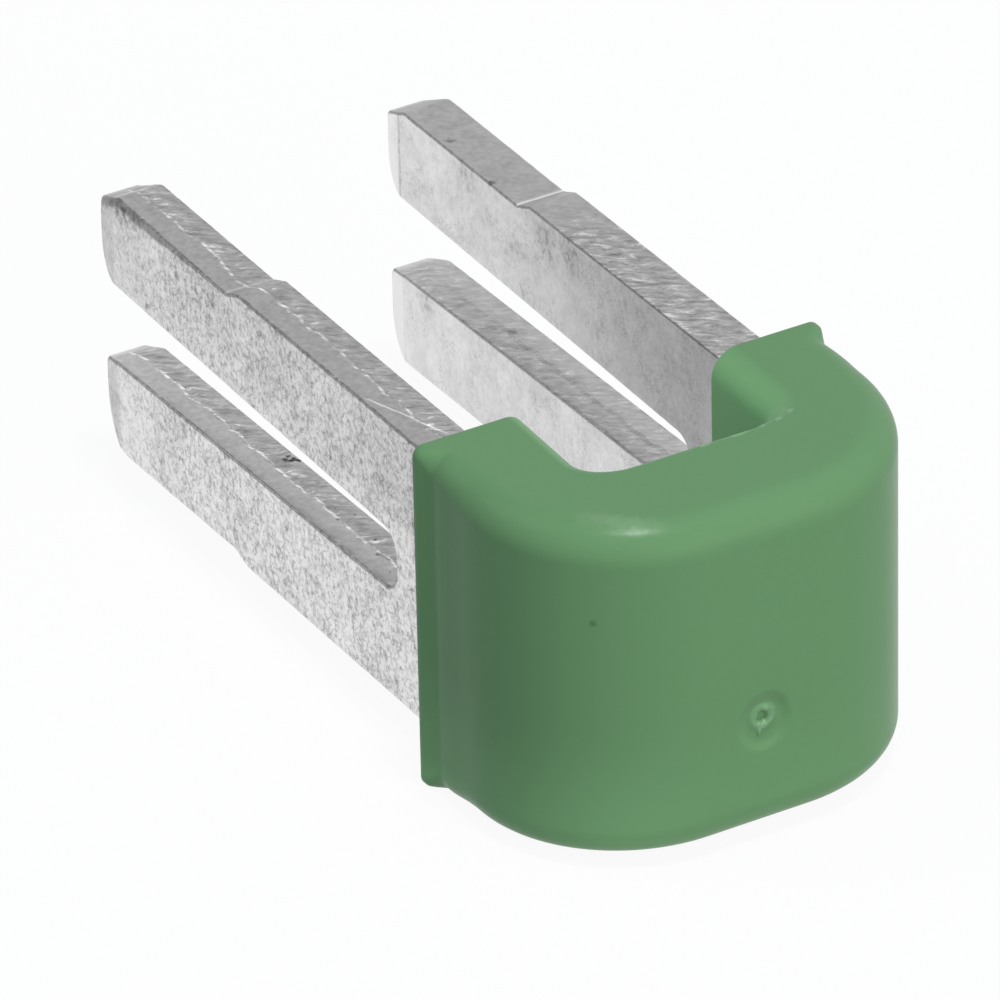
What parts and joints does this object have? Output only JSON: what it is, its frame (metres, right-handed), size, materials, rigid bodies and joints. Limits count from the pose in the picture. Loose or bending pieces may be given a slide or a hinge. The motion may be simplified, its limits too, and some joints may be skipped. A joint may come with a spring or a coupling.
{
  "type": "terminal block jumper",
  "caption": "Jumper for terminal blocks: a metal strip bent in a U, with forked blades that plug into neighbouring blocks and join them, under a moulded insulating cap.",
  "frame": {"origin": "middle of the bounding box in X and Y, on the plane of the cap's underside", "axes": "+Y runs along the blades from the cap to their tips, +X runs across the poles, +Z runs across the height of the forks"},
  "size_m": [0.0082, 0.0172, 0.0068],
  "materials": {
    "tinned_copper": "matt tin plating with fine pits and sheared edges",
    "cap_plastic": "satin green moulded plastic"
  },
  "bodies": {
    "root": {"contact_bridge": "tinned_copper", "insulating_cap": "cap_plastic"}
  },
  "joints": []
}
